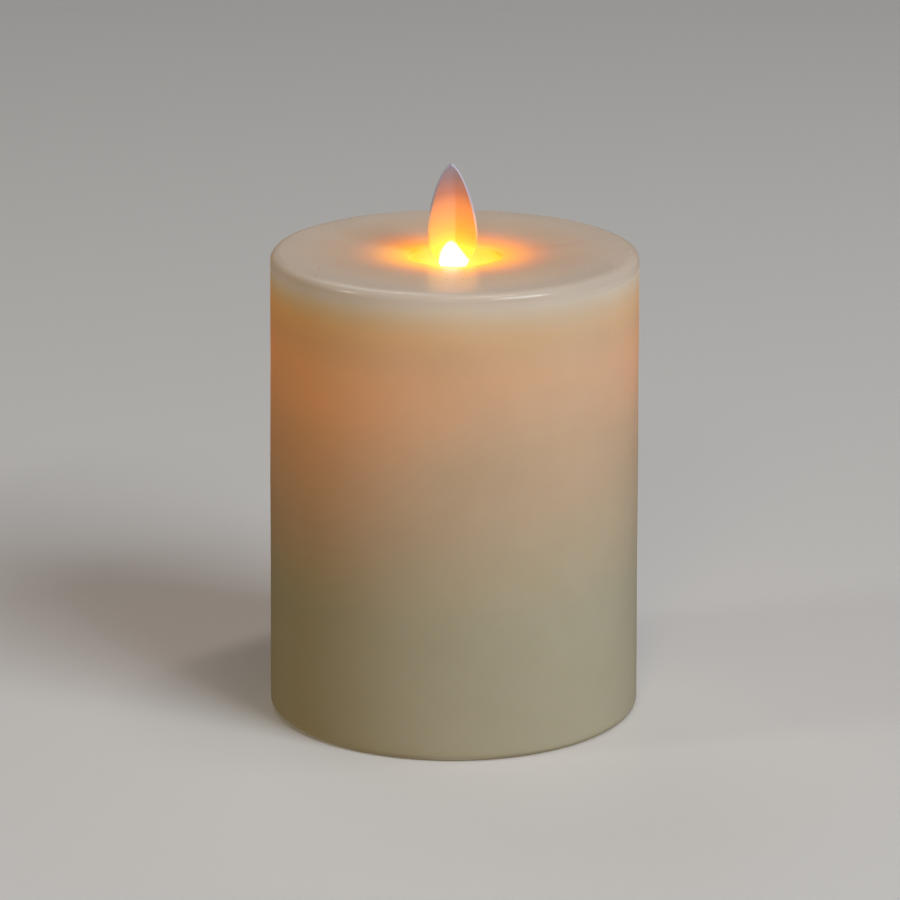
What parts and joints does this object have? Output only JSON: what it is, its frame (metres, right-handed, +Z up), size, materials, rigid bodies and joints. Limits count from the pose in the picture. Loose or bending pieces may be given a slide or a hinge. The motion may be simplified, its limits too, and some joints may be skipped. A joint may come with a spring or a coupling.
{
  "type": "flameless led candle",
  "caption": "Battery pillar candle: hollow wax shell with a dished top, a swinging lit flame blade over a drive coil, and a base with a hinged battery door and a slide switch.",
  "frame": {"origin": "centre of the wax foot, on the table plane", "axes": "+Z up through the flame, the lamp and the lit face of the flame look along -Y, +X to the viewer's right"},
  "size_m": [0.0834, 0.0834, 0.1245],
  "materials": {
    "wax": "cast candle wax, satin, slightly mottled, glossier on top",
    "flame_plastic": "frosted translucent sheet, lit from its foot",
    "clear_plastic": "milky, light-diffusing",
    "magnet": "bright nickel plating",
    "steel_wire": "drawn bright wire",
    "core_plastic": "moulded, fine satin",
    "screw_steel": "zinc-plated",
    "lamp": "clear warm epoxy lens",
    "bobbin_plastic": "moulded, satin",
    "copper_wire": "enamelled copper",
    "board": "solder-masked fibreglass",
    "chip_black": "moulded epoxy",
    "capacitor_sleeve": "shrunk sleeve",
    "tin": "tinned",
    "red_wire": "PVC insulation",
    "black_wire": "PVC insulation",
    "white_wire": "PVC insulation",
    "base_plastic": "moulded, fine spark texture",
    "cell_wrap": "plain printed sleeve with bare metal poles",
    "contact_plate": "nickel-plated spring steel",
    "switch_can": "pressed and plated",
    "switch_knob": "moulded, ribbed"
  },
  "bodies": {
    "candle": {"wax_shell": "wax", "throat_cup": "clear_plastic", "pivot_wire": "steel_wire", "contact_springs": "steel_wire", "led_leads": "steel_wire", "core_left": "core_plastic", "core_right": "core_plastic", "core_screws": "screw_steel", "board_screws": "screw_steel", "base_screws": "screw_steel", "switch_screws": "screw_steel", "led_lamp": "lamp", "coil_bobbin": "bobbin_plastic", "coil_winding": "copper_wire", "coil_wires": "copper_wire", "circuit_board": "board", "controller_chip": "chip_black", "drive_transistors": "chip_black", "board_resistors": "chip_black", "board_capacitor": "capacitor_sleeve", "timer_crystal": "tin", "switch_terminals": "tin", "led_wire_red": "red_wire", "battery_wire_red": "red_wire", "led_wire_black": "black_wire", "battery_wire_black": "black_wire", "switch_wires": "white_wire", "base_shell": "base_plastic", "battery_front": "cell_wrap", "battery_rear": "cell_wrap", "positive_contact": "contact_plate", "negative_contact": "contact_plate", "bridge_contact": "contact_plate", "switch_frame": "switch_can"},
    "flame": {"flame_blade": "flame_plastic", "tail_magnet": "magnet"},
    "switch": {"switch_slider": "switch_knob"},
    "door": {"battery_door": "base_plastic"}
  },
  "joints": [
    {"name": "flame_swing", "type": "hinge", "parent": "candle", "child": "flame", "pos_m": [0, 0, 0.088], "axis": [0, 1, 0], "range_deg": [-7.8, 10.2]},
    {"name": "switch_slide", "type": "slide", "parent": "candle", "child": "switch", "axis": [1, 0, 0], "range_m": [0, 0.004]},
    {"name": "battery_door_swing", "type": "hinge", "parent": "candle", "child": "door", "pos_m": [-0.0262, 0, 0.0027], "axis": [0, 1, 0], "range_deg": [0, 92]}
  ]
}
